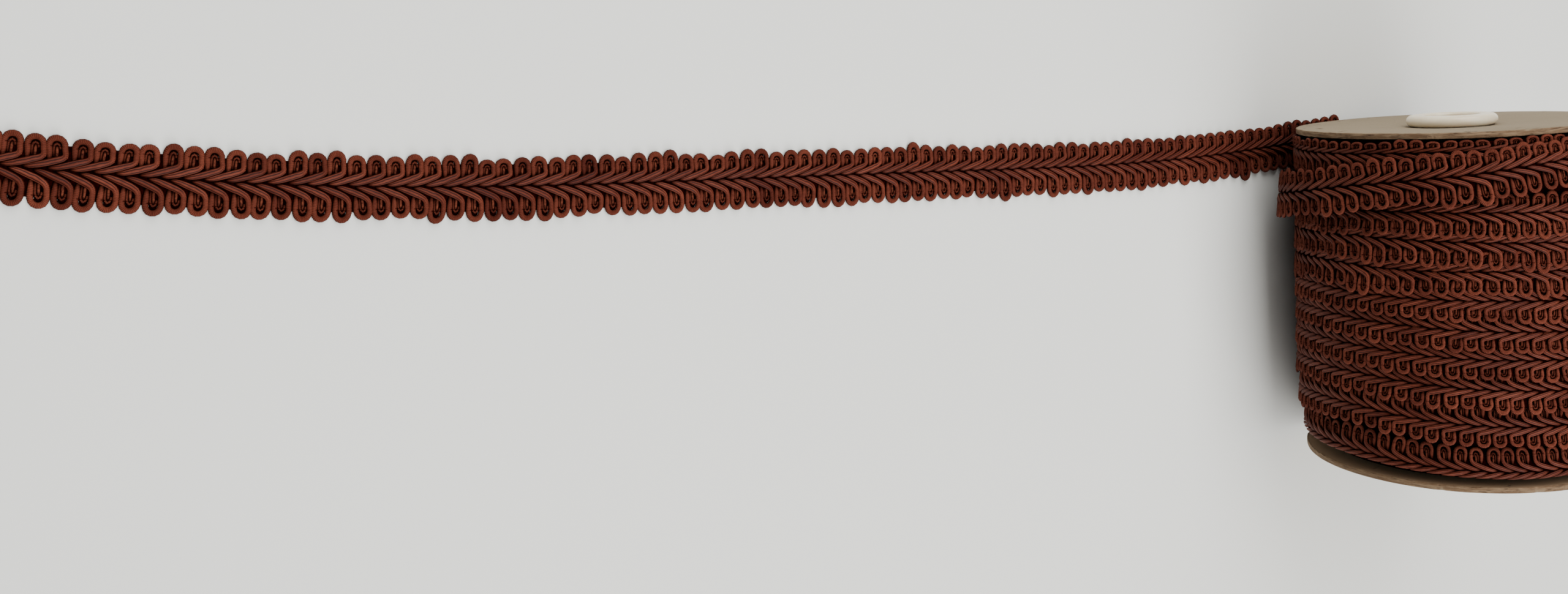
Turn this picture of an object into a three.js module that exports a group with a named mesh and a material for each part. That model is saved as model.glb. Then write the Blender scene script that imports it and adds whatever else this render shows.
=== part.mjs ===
// Galloon trim wound on its spool: a narrow looped braid, about eleven turns side by side between
// two cardboard flanges, lying on its side on a table, with the loose end running off over the table.
// Millimetres. +Z is up and the table is Z = 0. The spool's axis runs along Y, and the loose end
// runs towards -X. The spool rests on its wound trim, so both rims hang just clear of the table,
// and the loose end passes under the rim at the +Y end.
import * as THREE from 'three';

// The trim, flat
const TRIM_WIDTH = 15.2;      // over the loops of both edges
const TRIM_THICK = 1.6;       // where the cords of the plait cross
const EDGE_THICK = 0.9;       // over a single loop at the edge
const LOOP_PITCH = 4.26;      // from one loop to the next along an edge
const NOTCH_DEEP = 1.5;       // how far the outline draws in between two loops
const RIDGE_OFFSET = 2.7;     // from the middle line to the crest of the plait
const GROOVE_DROP = 0.45;     // how far the middle line lies below the crests

// The spool
const FLANGE_DIA = 88;
const FLANGE_THICK = 1.7;
const FLANGE_SPAN = 100.4;    // from outer face to outer face
const RIM_LIFT = 1.9;         // height of the rims above the table
const LIP_DIA = 25;           // the rolled lip of the hub, seen on the outer face
const LIP_HIGH = 3;
const LIP_ROUND = 1.1;
const BARREL_DIA = 20;
const BORE_DIA = 15;
const GAP = 0.3;              // between neighbouring pieces

// Worked out from the sizes above
const AXIS_HIGH = FLANGE_DIA / 2 + RIM_LIFT;
const FACE_OUT = FLANGE_SPAN / 2;
const FACE_IN = FACE_OUT - FLANGE_THICK;
const ROLL_END = FACE_IN - GAP;
const HALF_BAND = TRIM_WIDTH / 2 - GAP;

// The loose end: its middle line on the table, from under the roll to its cut end.
// x is measured from below the spool's axis, y from the middle of the spool's length.
const TAIL_COURSE = [
  { x: 12, y: 44.2 }, { x: -20, y: 43.5 }, { x: -60, y: 42.8 }, { x: -100, y: 43.9 },
  { x: -140, y: 46.3 }, { x: -180, y: 48.9 }, { x: -220, y: 51.4 }, { x: -260, y: 53.9 },
  { x: -300, y: 57.3 }, { x: -340, y: 62.3 }, { x: -380, y: 69.5 }, { x: -393, y: 72.3 },
];
const STEPS_PER_LOOP = 3;

// The turns between the first two and the far flange. middle is where the turn's middle line
// crosses the side that faces up and towards -X, and out is how far its lower loops stand off
// the axis. Each turn's lower loops lie over the upper loops of the next one.
const SIDE_VIEW = 146;        // degrees round from +X to the place where middle is given
const TURNS = [
  { middle: 28.5, out: 46.0 }, { middle: 20.0, out: 46.3 }, { middle: 11.3, out: 46.5 },
  { middle: 3.7, out: 46.7 }, { middle: -3.8, out: 46.8 }, { middle: -12.0, out: 46.9 },
  { middle: -20.2, out: 46.8 }, { middle: -30.0, out: 46.2 }, { middle: -41.0, out: 44.9 },
];
const ADVANCE = 9;            // how far a turn moves along the spool in one round
const TUCK_DROP = 1.5;        // how far a turn's upper loops lie below the edge that covers them
const PLAIT_DROP = 0.6;       // and its plait
const STEP_LONG = 1;          // length along the axis of the step between two turns

// The outermost turn, which is slack: it crosses from the covered turns up to the flange, and
// hangs off the roll on the side of the loose end. angle is in degrees round from +X.
const SLACK_TURN = [
  { angle: -90, middle: 27.2, out: 46.2 }, { angle: -72, middle: 27.6, out: 46.2 },
  { angle: -30, middle: 35.0, out: 46.4 }, { angle: 0, middle: 39.6, out: 46.6 },
  { angle: 30, middle: 40.4, out: 46.8 }, { angle: 107, middle: 40.4, out: 46.9 },
  { angle: 138, middle: 38.8, out: 47.1 }, { angle: 157, middle: 36.5, out: 47.6 },
  { angle: 180, middle: 33.6, out: 48.7 }, { angle: 207, middle: 30.2, out: 50.6 },
  { angle: 228, middle: 28.2, out: 51.3 }, { angle: 246, middle: 27.2, out: 48.9 },
  { angle: 258, middle: 27.2, out: 46.6 }, { angle: 270, middle: 27.2, out: 46.2 },
];

// The turn beside the flange: a lower layer on the upper side, and on the underside the end of
// the slack turn, on its way to the loose end. out is its distance from the axis.
const FLANGE_TURN = [
  { angle: -90, out: 45.4 }, { angle: -72, out: 45.8 }, { angle: -30, out: 45.8 },
  { angle: 0, out: 44.4 }, { angle: 40, out: 43.2 }, { angle: 230, out: 43.4 },
  { angle: 258, out: 44.0 }, { angle: 270, out: 45.4 },
];
const END_DROP = 1.6;         // how far the roll draws in where it meets a flange
const FLANGE_TURN_PLAIT = 44.8;
const AROUND = 60;            // steps round the axis

const TRIM_COLOUR = 0x8c3f22;
const CARD_COLOUR = 0xb9ad9b;
const PLASTIC_COLOUR = 0xeae6da;

const trimMaterial = new THREE.MeshStandardMaterial({
  color: TRIM_COLOUR, roughness: 0.6, metalness: 0,
});
const cardMaterial = new THREE.MeshStandardMaterial({
  color: CARD_COLOUR, roughness: 0.9, metalness: 0,
});
const plasticMaterial = new THREE.MeshStandardMaterial({
  color: PLASTIC_COLOUR, roughness: 0.25, metalness: 0,
});

// A named mesh of shared points and triangles
function meshOf(name, points, faces, material) {
  const geometry = new THREE.BufferGeometry();
  geometry.setAttribute('position', new THREE.Float32BufferAttribute(points.flat(), 3));
  geometry.setIndex(faces.flat());
  geometry.computeVertexNormals();
  const mesh = new THREE.Mesh(geometry, material);
  mesh.name = name;
  return mesh;
}

// A ring turned round the spool's axis from a closed outline of radius and place along the axis
function turned(name, outline, steps, material) {
  const profile = outline.map(([radius, along]) => new THREE.Vector2(radius, along));
  profile.push(profile[0].clone());
  const mesh = new THREE.Mesh(new THREE.LatheGeometry(profile, steps), material);
  mesh.name = name;
  mesh.position.z = AXIS_HIGH;
  return mesh;
}

// side is 1 at the +Y end and -1 at the other; the outline runs the same way round for both
function facing(side, outline) {
  const placed = outline.map(([radius, along]) => [radius, side * along]);
  return side > 0 ? placed : placed.reverse();
}

function flange(name, side) {
  const hole = BARREL_DIA / 2 + GAP;
  const rim = FLANGE_DIA / 2;
  const outline = [[hole, FACE_IN], [rim, FACE_IN], [rim, FACE_OUT], [hole, FACE_OUT]];
  return turned(name, facing(side, outline), 72, cardMaterial);
}

// Half of the hub: a barrel as long as half the spool, and the rolled lip that holds the flange
function hub(name, side) {
  const bore = BORE_DIA / 2;
  const barrel = BARREL_DIA / 2;
  const lip = LIP_DIA / 2;
  const seat = FACE_OUT + GAP;
  const top = FACE_OUT + LIP_HIGH;
  const soft = LIP_ROUND * (1 - Math.SQRT1_2);
  const outline = [
    [bore, GAP / 2], [barrel, GAP / 2], [barrel, seat], [lip - soft, seat],
    [lip, seat + LIP_ROUND], [lip - soft, top - soft], [lip - LIP_ROUND, top],
    [bore + LIP_ROUND, top], [bore, top - LIP_ROUND],
  ];
  return turned(name, facing(side, outline), 40, plasticMaterial);
}

// Value between the rows of a table at a place in one of its columns
function between(rows, key, place, value) {
  const next = rows.findIndex((row) => row[key] >= place);
  if (next === 0) {
    return rows[0][value];
  }
  if (next < 0) {
    return rows[rows.length - 1][value];
  }
  const from = rows[next - 1];
  const to = rows[next];
  const share = THREE.MathUtils.smoothstep(place, from[key], to[key]);
  const straight = (place - from[key]) / (to[key] - from[key]);
  return THREE.MathUtils.lerp(from[value], to[value], (share + straight) / 2);
}

// A turn drifts along the spool over the upper side, and comes back underneath
function drift(angle) {
  const under = THREE.MathUtils.smoothstep(angle, 225, 270)
    - THREE.MathUtils.smoothstep(-angle, 30, 90);
  return ADVANCE * ((SIDE_VIEW - angle) / 360 + (under * 0.5 - 0.155 * Math.abs(under)));
}

// The lines that run round the roll at one angle, from the +Y flange to the other:
// place along the axis and distance from it
function linesAt(angle) {
  const slack = between(SLACK_TURN, 'angle', angle, 'middle');
  const slackOut = between(SLACK_TURN, 'angle', angle, 'out');
  const flangeOut = between(FLANGE_TURN, 'angle', angle, 'out');
  const slackTop = Math.min(slack + HALF_BAND, ROLL_END - 0.9);
  const flangeLow = slackTop + Math.min(1.4, (ROLL_END - slackTop) * 0.4);
  const spare = ROLL_END - flangeLow;
  const plait = Math.min(FLANGE_TURN_PLAIT, flangeLow + spare * 0.5);
  const lines = [
    [ROLL_END, flangeOut - END_DROP],
    [ROLL_END - spare * 0.15, flangeOut - 0.3],
    [plait, flangeOut],
    [flangeLow, flangeOut],
    [slackTop, slackOut - 0.3],
    [slack, slackOut],
    [slack - HALF_BAND, slackOut],
  ];
  TURNS.forEach((turn, index) => {
    const above = lines[lines.length - 1][0];
    const last = index === TURNS.length - 1;
    const middle = turn.middle + (last ? 0 : drift(angle));
    const low = Math.max(Math.min(middle - HALF_BAND, above - 2.4), 0.8 - ROLL_END);
    const tucked = above - STEP_LONG;
    const crest = Math.max(Math.min(middle, tucked - 0.5), low + 0.5);
    lines.push([tucked, turn.out - TUCK_DROP]);
    lines.push([crest, turn.out - PLAIT_DROP]);
    lines.push([low, turn.out]);
  });
  const outermost = lines[lines.length - 1][1];
  lines.push([-ROLL_END, outermost - END_DROP]);
  return lines;
}

// Least height of the roll above the table: none where it rests, and over the loose end
// enough to clear it
function floorAt(along) {
  const tailTop = TRIM_THICK + GAP;
  const tailSide = TAIL_COURSE[0].y - TRIM_WIDTH / 2;
  return tailTop * THREE.MathUtils.clamp((along - (tailSide - 2)) / 1.4, 0, 1);
}

// The wound trim, one solid from the barrel out to its turns
function roll(name) {
  const points = [];
  const faces = [];
  const inner = BARREL_DIA / 2 + GAP;
  let across = 0;
  for (let step = 0; step < AROUND; step += 1) {
    const angle = -90 + (360 * step) / AROUND;
    const cos = Math.cos(THREE.MathUtils.degToRad(angle));
    const sin = Math.sin(THREE.MathUtils.degToRad(angle));
    const lines = linesAt(angle);
    const section = [[ROLL_END, inner], ...lines, [-ROLL_END, inner]];
    across = section.length;
    section.forEach(([along, radius]) => {
      const room = sin < 0 ? (AXIS_HIGH - floorAt(along)) / -sin : Infinity;
      const reach = Math.min(radius, room);
      points.push([reach * cos, along, AXIS_HIGH + reach * sin]);
    });
  }
  for (let step = 0; step < AROUND; step += 1) {
    const here = step * across;
    const there = ((step + 1) % AROUND) * across;
    for (let line = 0; line < across; line += 1) {
      const next = (line + 1) % across;
      faces.push([here + line, there + line, there + next]);
      faces.push([here + line, there + next, here + next]);
    }
  }
  return meshOf(name, points, faces, trimMaterial);
}

// The loose end: a thin strip that lies flat, with a looped outline on both edges and the two
// rows of raised cords that meet at the groove along its middle
function tail(name) {
  const course = new THREE.CatmullRomCurve3(
    TAIL_COURSE.map(({ x, y }) => new THREE.Vector3(x, y, 0)), false, 'centripetal');
  const length = course.getLength();
  const loops = Math.round(length / LOOP_PITCH);
  const steps = loops * STEPS_PER_LOOP;
  course.arcLengthDivisions = steps * 4;
  const points = [];
  const faces = [];
  for (let step = 0; step <= steps; step += 1) {
    const place = course.getPointAt(step / steps);
    const along = course.getTangentAt(step / steps);
    const loop = Math.floor(step / STEPS_PER_LOOP);
    const phase = step % STEPS_PER_LOOP;
    const uneven = 0.25 * Math.sin(loop * 2.4) + 0.2 * Math.sin(loop * 1.1 + 2);
    const half = TRIM_WIDTH / 2 - 0.45 + (phase === 0 ? -NOTCH_DEEP : uneven);
    const crest = TRIM_THICK - 0.12 * phase;
    const mirrored = TRIM_THICK - 0.12 * ((phase + 1) % STEPS_PER_LOOP);
    const section = [
      [-half, 0], [-half, EDGE_THICK], [-RIDGE_OFFSET, crest],
      [0, TRIM_THICK - GROOVE_DROP], [RIDGE_OFFSET, mirrored], [half, EDGE_THICK], [half, 0],
    ];
    section.forEach(([side, high]) => {
      points.push([place.x + along.y * side, place.y - along.x * side, high]);
    });
  }
  const across = 7;
  for (let step = 0; step < steps; step += 1) {
    const here = step * across;
    const there = here + across;
    for (let line = 0; line < across; line += 1) {
      const next = (line + 1) % across;
      faces.push([here + line, there + next, there + line]);
      faces.push([here + line, here + next, there + next]);
    }
  }
  const last = steps * across;
  for (let line = 1; line < across - 1; line += 1) {
    faces.push([0, line + 1, line]);
    faces.push([last, last + line, last + line + 1]);
  }
  return meshOf(name, points, faces, trimMaterial);
}

const spool = new THREE.Group();
spool.add(flange('flange_top', 1));
spool.add(flange('flange_bottom', -1));
spool.add(hub('hub_top', 1));
spool.add(hub('hub_bottom', -1));
spool.add(roll('trim_roll'));
spool.add(tail('trim_tail'));

// The origin is the middle of the whole, on the table
const extent = new THREE.Box3().setFromObject(spool);
const middle = extent.getCenter(new THREE.Vector3());
spool.position.set(-middle.x, -middle.y, 0);

const trimOnSpool = new THREE.Group();
trimOnSpool.add(spool);

export default trimOnSpool;
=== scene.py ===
import logging
import math
from dataclasses import dataclass, replace
from enum import Enum

import bpy
import numpy as np
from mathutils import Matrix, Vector


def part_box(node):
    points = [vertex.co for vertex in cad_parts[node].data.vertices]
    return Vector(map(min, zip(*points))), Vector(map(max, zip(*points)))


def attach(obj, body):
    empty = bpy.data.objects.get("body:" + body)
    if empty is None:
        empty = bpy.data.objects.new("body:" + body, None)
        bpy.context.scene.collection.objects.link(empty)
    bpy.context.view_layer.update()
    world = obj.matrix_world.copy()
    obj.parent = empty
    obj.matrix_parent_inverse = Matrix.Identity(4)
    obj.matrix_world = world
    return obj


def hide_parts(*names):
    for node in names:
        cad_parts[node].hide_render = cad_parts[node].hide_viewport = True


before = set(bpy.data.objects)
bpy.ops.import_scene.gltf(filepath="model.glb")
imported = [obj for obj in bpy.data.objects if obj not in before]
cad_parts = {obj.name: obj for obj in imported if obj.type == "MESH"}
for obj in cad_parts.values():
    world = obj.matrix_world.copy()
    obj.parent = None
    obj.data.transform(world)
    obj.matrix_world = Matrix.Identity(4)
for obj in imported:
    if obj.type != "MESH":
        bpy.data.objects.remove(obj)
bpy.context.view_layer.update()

Array = np.ndarray
Material = bpy.types.Material
Piece = bpy.types.Object
Socket = bpy.types.NodeSocket

# Lengths in this file are millimetres in the spool's own place: x from below the spool's axis,
# y from the middle of its length and z from the table. SpoolPlace turns them into the frame's.
MM = 0.001
TRIM_WIDTH = 15.2
LOOP_PITCH = 4.26
STRIP_HIGH = 1.6  # over the cords of the plait
SIDE_VIEW = 146.0  # degrees from +X to where the trim is wound by 0 degrees
WOUND_RADIUS = 46.0  # radius at which the loops keep their pitch
SEED = 20

LOG = logging.getLogger("galloon")


class Side(Enum):
    """The two ends of the spool, and the two edges of the trim."""

    TOP = 1
    BOTTOM = -1


@dataclass(frozen=True)
class SpoolPlace:
    """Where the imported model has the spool, in millimetres."""

    axis_x: float
    middle_y: float
    axis_high: float
    flange_radius: float
    face_out: float
    flange_thick: float

    @classmethod
    def from_frame(cls) -> "SpoolPlace":
        """Reads the flanges' boxes.

        Returns:
            The place and the main sizes of the spool.
        """
        low, high = (np.array(corner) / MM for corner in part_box("flange_top"))
        far = np.array(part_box("flange_bottom")[0]) / MM
        centre = (low + high) / 2
        middle = (high[1] + far[1]) / 2
        return cls(
            axis_x=centre[0],
            middle_y=middle,
            axis_high=centre[2],
            flange_radius=(high[0] - low[0]) / 2,
            face_out=high[1] - middle,
            flange_thick=high[1] - low[1],
        )

    @property
    def face_in(self) -> float:
        """Distance of a flange's inner face from the middle of the spool."""
        return self.face_out - self.flange_thick

    def metres(self, points: Array) -> Array:
        """Turns millimetres in the spool's place into metres in the frame."""
        return (points + np.array([self.axis_x, self.middle_y, 0.0])) * MM


def wave(place: Array, length: float, seed: float) -> Array:
    """A slow uneven wave, the same on each run.

    Args:
        place: where it is read, in millimetres.
        length: its main wavelength, in millimetres.
        seed: a number that tells one wave from another.

    Returns:
        Values from about -1 to 1.
    """
    turn = 2 * math.pi * np.asarray(place) / length
    return (
        0.5 * np.sin(turn + seed)
        + 0.3 * np.sin(1.73 * turn + 2.1 * seed)
        + 0.2 * np.sin(2.91 * turn + 3.7 * seed)
    )


# Materials


class Nodes:
    """A short way to write a node tree."""

    def __init__(self, name: str) -> None:
        """Starts a material with a Principled shader.

        Args:
            name: the material's name.
        """
        self.material = bpy.data.materials.new(name)
        self.material.use_nodes = True
        self.tree = self.material.node_tree
        self.shader = self.tree.nodes["Principled BSDF"]

    def add(self, kind: str, **settings: object) -> bpy.types.Node:
        """Adds a node.

        Args:
            kind: the node's type name, without ShaderNode.
            settings: its properties.

        Returns:
            The node.
        """
        node = self.tree.nodes.new("ShaderNode" + kind)
        for key, value in settings.items():
            setattr(node, key, value)
        return node

    def feed(self, node: bpy.types.Node, socket: object, value: object) -> None:
        """Sets an input, or links another node's output to it.

        Args:
            node: the node whose input is fed.
            socket: the input's name or number.
            value: a number, a colour, or an output socket.
        """
        target = node.inputs[socket]
        if isinstance(value, Socket):
            self.tree.links.new(value, target)
        else:
            target.default_value = value

    def done(self, **inputs: object) -> Material:
        """Feeds the shader and ends the material.

        Args:
            inputs: what each input is fed, by its name with _ for a space.

        Returns:
            The material.
        """
        for name, value in inputs.items():
            self.feed(self.shader, name.replace("_", " "), value)
        return self.material

    def math(self, operation: str, *values: object) -> Socket:
        """One step of arithmetic.

        Args:
            operation: the Math node's operation.
            values: numbers or sockets.

        Returns:
            The result's socket.
        """
        node = self.add("Math", operation=operation)
        for index, value in enumerate(values):
            self.feed(node, index, value)
        return node.outputs[0]

    def times(self, first: object, second: object) -> Socket:
        """The product of two numbers or sockets."""
        return self.math("MULTIPLY", first, second)

    def mix(self, share: object, first: object, second: object) -> Socket:
        """Mixes two colours.

        Args:
            share: how much of the second.
            first: a colour or socket.
            second: a colour or socket.

        Returns:
            The mixed colour's socket.
        """
        node = self.add("Mix", data_type="RGBA")
        self.feed(node, 0, share)
        self.feed(node, 6, first)
        self.feed(node, 7, second)
        return node.outputs[2]

    def noise(self, scale: float, detail: float = 3.0, rough: float = 0.5,
              squash: tuple = (1.0, 1.0, 1.0)) -> Socket:
        """Noise on the object's own coordinates.

        Args:
            scale: cells to the metre.
            detail: number of finer layers.
            rough: weight of the finer layers.
            squash: how much finer it is along each axis.

        Returns:
            The noise value's socket.
        """
        place = self.add("VectorMath", operation="MULTIPLY")
        self.feed(place, 0, self.add("TexCoord").outputs["Object"])
        self.feed(place, 1, squash)
        node = self.add("TexNoise")
        self.feed(node, "Vector", place.outputs[0])
        self.feed(node, "Scale", scale)
        self.feed(node, "Detail", detail)
        self.feed(node, "Roughness", rough)
        return node.outputs[0]

    def stretch(self, value: object, low: float, high: float,
                to_low: float = 0.0, to_high: float = 1.0) -> Socket:
        """Stretches a range of values to another, and holds it at its ends.

        Args:
            value: the socket to stretch.
            low: start of the range that is read.
            high: its end.
            to_low: start of the range that comes out.
            to_high: its end.

        Returns:
            The stretched value's socket.
        """
        node = self.add("MapRange")
        for index, each in enumerate((value, low, high, to_low, to_high)):
            self.feed(node, index, each)
        return node.outputs[0]

    def attribute(self, name: str) -> Socket:
        """The number that a mesh keeps under a name at each point."""
        return self.add("Attribute", attribute_name=name).outputs["Fac"]

    def bump(self, height: object, deep: float, strength: float = 1.0,
             under: object = None) -> Socket:
        """A bumped normal.

        Args:
            height: the relief's socket.
            deep: its depth in metres.
            strength: how much of it shows.
            under: a normal that it lies on, or None.

        Returns:
            The normal's socket.
        """
        node = self.add("Bump")
        self.feed(node, "Height", height)
        self.feed(node, "Distance", deep)
        self.feed(node, "Strength", strength)
        if under is not None:
            self.feed(node, "Normal", under)
        return node.outputs[0]


@dataclass(frozen=True)
class CordFinish:
    """Rayon wrapped over a soft core: fine turns across the loops, long satin threads on floats."""

    lit: tuple = (0.160, 0.037, 0.019, 1.0)
    deep: tuple = (0.040, 0.0045, 0.0015, 1.0)
    # shadow is a painted shade colour, for the grooves and the cords' lower parts
    shadow: tuple = (0.006, 0.0002, 0.0001, 1.0)
    wrap_pitch: float = 0.33  # of the wrapping thread, in millimetres
    threads: float = 6.0  # side by side round a float
    relief: float = 0.00005  # in metres

    def material(self) -> Material:
        """Builds the material.

        Returns:
            The material.
        """
        n = Nodes("gimp_cord")
        along_around = n.add("SeparateXYZ")
        n.feed(along_around, 0, n.add("UVMap", uv_map="cord").outputs[0])
        satin = n.attribute("satin")
        tone = n.attribute("tone")
        high = n.attribute("high")
        fuzz = n.noise(2600.0, 2.0)
        turns = n.times(along_around.outputs[0], 2 * math.pi / self.wrap_pitch)
        turns = n.math("ADD", turns, n.times(fuzz, 2.2))
        wraps = n.times(n.math("SINE", turns), n.math("SUBTRACT", 1.0, satin))
        round_it = n.times(along_around.outputs[1], 2 * math.pi * self.threads)
        round_it = n.math("ADD", round_it, n.times(n.noise(420.0, 2.0), 5.0))
        strands = n.times(n.math("SINE", round_it), satin)
        relief = n.math("ADD", wraps, n.times(strands, 1.3))
        # Each loop's tone is random, between the deep and the lit colour; on the loose end it is
        # set lower as painted shade.
        body = n.mix(tone, self.deep, self.lit)
        mottled = n.stretch(n.noise(900.0, 3.0), 0.35, 0.7, 0.0, 0.4)
        body = n.mix(mottled, body, self.deep)
        # Painted shade: the grooves between the wrapping turns and between a float's threads are
        # darkened towards the shadow colour.
        between = n.times(n.stretch(relief, -0.25, -0.95), n.stretch(satin, 0.0, 1.0, 0.45, 0.85))
        body = n.mix(between, body, self.shadow)
        # Painted shade: the lower parts of each cord, by their height in the strip, are darkened
        # towards the shadow colour and lose their specular.
        low = n.stretch(high, 0.66, 0.36)
        body = n.mix(low, body, self.shadow)
        return n.done(Base_Color=body, Roughness=n.stretch(satin, 0.0, 1.0, 0.75, 0.55),
                      Normal=n.bump(relief, self.relief, 0.9),
                      Specular_IOR_Level=n.stretch(low, 0.0, 1.0, 0.10, 0.0))


@dataclass(frozen=True)
class ThreadFinish:
    """Dull thread with spots of another tone."""

    name: str
    colour: tuple
    spots: tuple
    spot_scale: float
    spot_range: tuple
    rough: float
    specular: float
    relief_scale: float
    relief: float

    def material(self) -> Material:
        """Builds the material.

        Returns:
            The material.
        """
        n = Nodes(self.name)
        spots = n.stretch(n.noise(self.spot_scale), *self.spot_range)
        return n.done(Base_Color=n.mix(spots, self.colour, self.spots), Roughness=self.rough,
                      Specular_IOR_Level=self.specular,
                      Normal=n.bump(n.noise(self.relief_scale), self.relief))


# The filler strand inside each loop, and the binding threads seen between the cords: real threads,
# drawn near-black in the cords' shadow colour as painted shade for the gaps between the cords.
CORE_FINISH = ThreadFinish(
    "core_strand", colour=(0.120, 0.030, 0.015, 1.0), spots=(0.020, 0.003, 0.002, 1.0),
    spot_scale=1500.0, spot_range=(0.35, 0.7), rough=0.8, specular=0.06,
    relief_scale=3000.0, relief=0.0001)
# Its near-black is painted shade; the ground strips, stitches, webs and the roll's inner body are
# drawn in it.
GROUND_FINISH = ThreadFinish(
    "ground_thread_painted_shade", colour=(0.0060, 0.0003, 0.0002, 1.0), spots=(0.020, 0.001, 0.0006, 1.0),
    spot_scale=1800.0, spot_range=(0.4, 0.75), rough=0.9, specular=0.0,
    relief_scale=2500.0, relief=0.0002)


@dataclass(frozen=True)
class BoardFinish:
    """Grey-beige board: short fibres on the face, browner layers along the cut edge."""

    place: SpoolPlace
    face: tuple = (0.205, 0.160, 0.101, 1.0)
    dark_fibre: tuple = (0.140, 0.099, 0.055, 1.0)
    inner: tuple = (0.190, 0.122, 0.068, 1.0)
    edge: tuple = (0.110, 0.062, 0.030, 1.0)
    edge_pale: tuple = (0.190, 0.124, 0.069, 1.0)
    edge_dark: tuple = (0.050, 0.025, 0.012, 1.0)

    def material(self) -> Material:
        """Builds the material.

        Returns:
            The material.
        """
        n = Nodes("spool_board")
        where = n.add("SeparateXYZ")
        n.feed(where, 0, n.add("TexCoord").outputs["Object"])
        off_x = n.math("SUBTRACT", where.outputs[0], self.place.axis_x * MM)
        off_z = n.math("SUBTRACT", where.outputs[2], self.place.axis_high * MM)
        squared = n.math("ADD", n.math("POWER", off_x, 2.0), n.math("POWER", off_z, 2.0))
        radius = n.math("SQRT", squared)
        rim = self.place.flange_radius * MM
        worn = n.times(n.math("SUBTRACT", n.noise(700.0, 3.0), 0.5), 0.0012)
        on_edge = n.stretch(n.math("ADD", radius, worn), rim - 0.00055, rim - 0.00015)
        fibres = n.stretch(n.noise(1400.0, 5.0, 0.65), 0.45, 0.72)
        clouds = n.stretch(n.noise(55.0, 3.0), 0.3, 0.7, 0.0, 0.3)
        face = n.mix(n.times(fibres, 0.4), self.face, self.dark_fibre)
        face = n.mix(clouds, face, self.dark_fibre)
        side = n.math("SUBTRACT", where.outputs[1], self.place.middle_y * MM)
        side = n.math("ABSOLUTE", side)
        outer = self.place.face_out * MM
        inside = n.times(n.stretch(side, outer - 0.0004, outer - 0.0010),
                         n.stretch(radius, rim - 0.008, rim - 0.004))
        face = n.mix(inside, face, self.inner)
        specks = n.stretch(n.noise(2400.0, 2.0), 0.70, 0.76)
        face = n.mix(n.times(specks, 0.5), face, self.edge_dark)
        near_rim = n.times(n.stretch(radius, rim - 0.0075, rim - 0.0060),
                           n.stretch(radius, rim - 0.0012, rim - 0.0018))
        torn = n.stretch(n.noise(300.0, 2.0, 0.5, (0.5, 1.0, 1.6)), 0.655, 0.69)
        torn = n.times(torn, near_rim)
        face = n.mix(torn, face, self.edge_dark)
        layers = n.stretch(n.noise(150.0, 4.0, 0.65, (1.0, 9.0, 1.0)), 0.42, 0.62)
        streaks = n.stretch(n.noise(420.0, 3.0, 0.6, (1.0, 6.0, 1.0)), 0.56, 0.70)
        edge = n.mix(layers, self.edge, self.edge_pale)
        edge = n.mix(n.times(streaks, 0.8), edge, self.edge_dark)
        grain = n.bump(n.noise(1700.0, 5.0, 0.6), 0.00006, 0.8)
        cut = n.math("SUBTRACT", layers, n.times(streaks, 1.5))
        cut = n.math("SUBTRACT", n.times(cut, on_edge), n.times(torn, 2.0))
        return n.done(Base_Color=n.mix(on_edge, face, edge), Roughness=0.86,
                      Specular_IOR_Level=0.3, Normal=n.bump(cut, 0.00018, 0.8, grain))


@dataclass(frozen=True)
class PlasticFinish:
    """Glossy ivory moulded plastic, faintly mottled."""

    colour: tuple = (0.70, 0.61, 0.45, 1.0)
    cloud: tuple = (0.64, 0.53, 0.37, 1.0)

    def material(self) -> Material:
        """Builds the material.

        Returns:
            The material.
        """
        n = Nodes("ivory_plastic")
        clouds = n.stretch(n.noise(160.0, 3.0), 0.35, 0.7)
        return n.done(Base_Color=n.mix(clouds, self.colour, self.cloud), Roughness=0.27,
                      Subsurface_Weight=0.12, Subsurface_Radius=(0.0015, 0.0010, 0.0006),
                      Normal=n.bump(n.noise(240.0, 2.0), 0.00008, 0.35))


@dataclass(frozen=True)
class TableFinish:
    """A plain pale table top."""

    colour: tuple = (0.670, 0.670, 0.630, 1.0)
    cloud: tuple = (0.61, 0.61, 0.57, 1.0)

    def material(self) -> Material:
        """Builds the material.

        Returns:
            The material.
        """
        n = Nodes("pale_table")
        clouds = n.stretch(n.noise(9.0, 2.0), 0.3, 0.7, 0.0, 0.1)
        return n.done(Base_Color=n.mix(clouds, self.colour, self.cloud), Roughness=0.55)


@dataclass(frozen=True)
class TrimFinishes:
    """The three finishes that each length of trim is made of, in slot order."""

    cord: Material
    ground: Material
    core: Material

    @property
    def slots(self) -> list[Material]:
        """The three in order."""
        return [self.cord, self.ground, self.core]


# Mesh building


@dataclass
class Faces:
    """Faces of one size that share a material slot."""

    corners: Array
    slot: int
    uvs: Array | None = None


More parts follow.
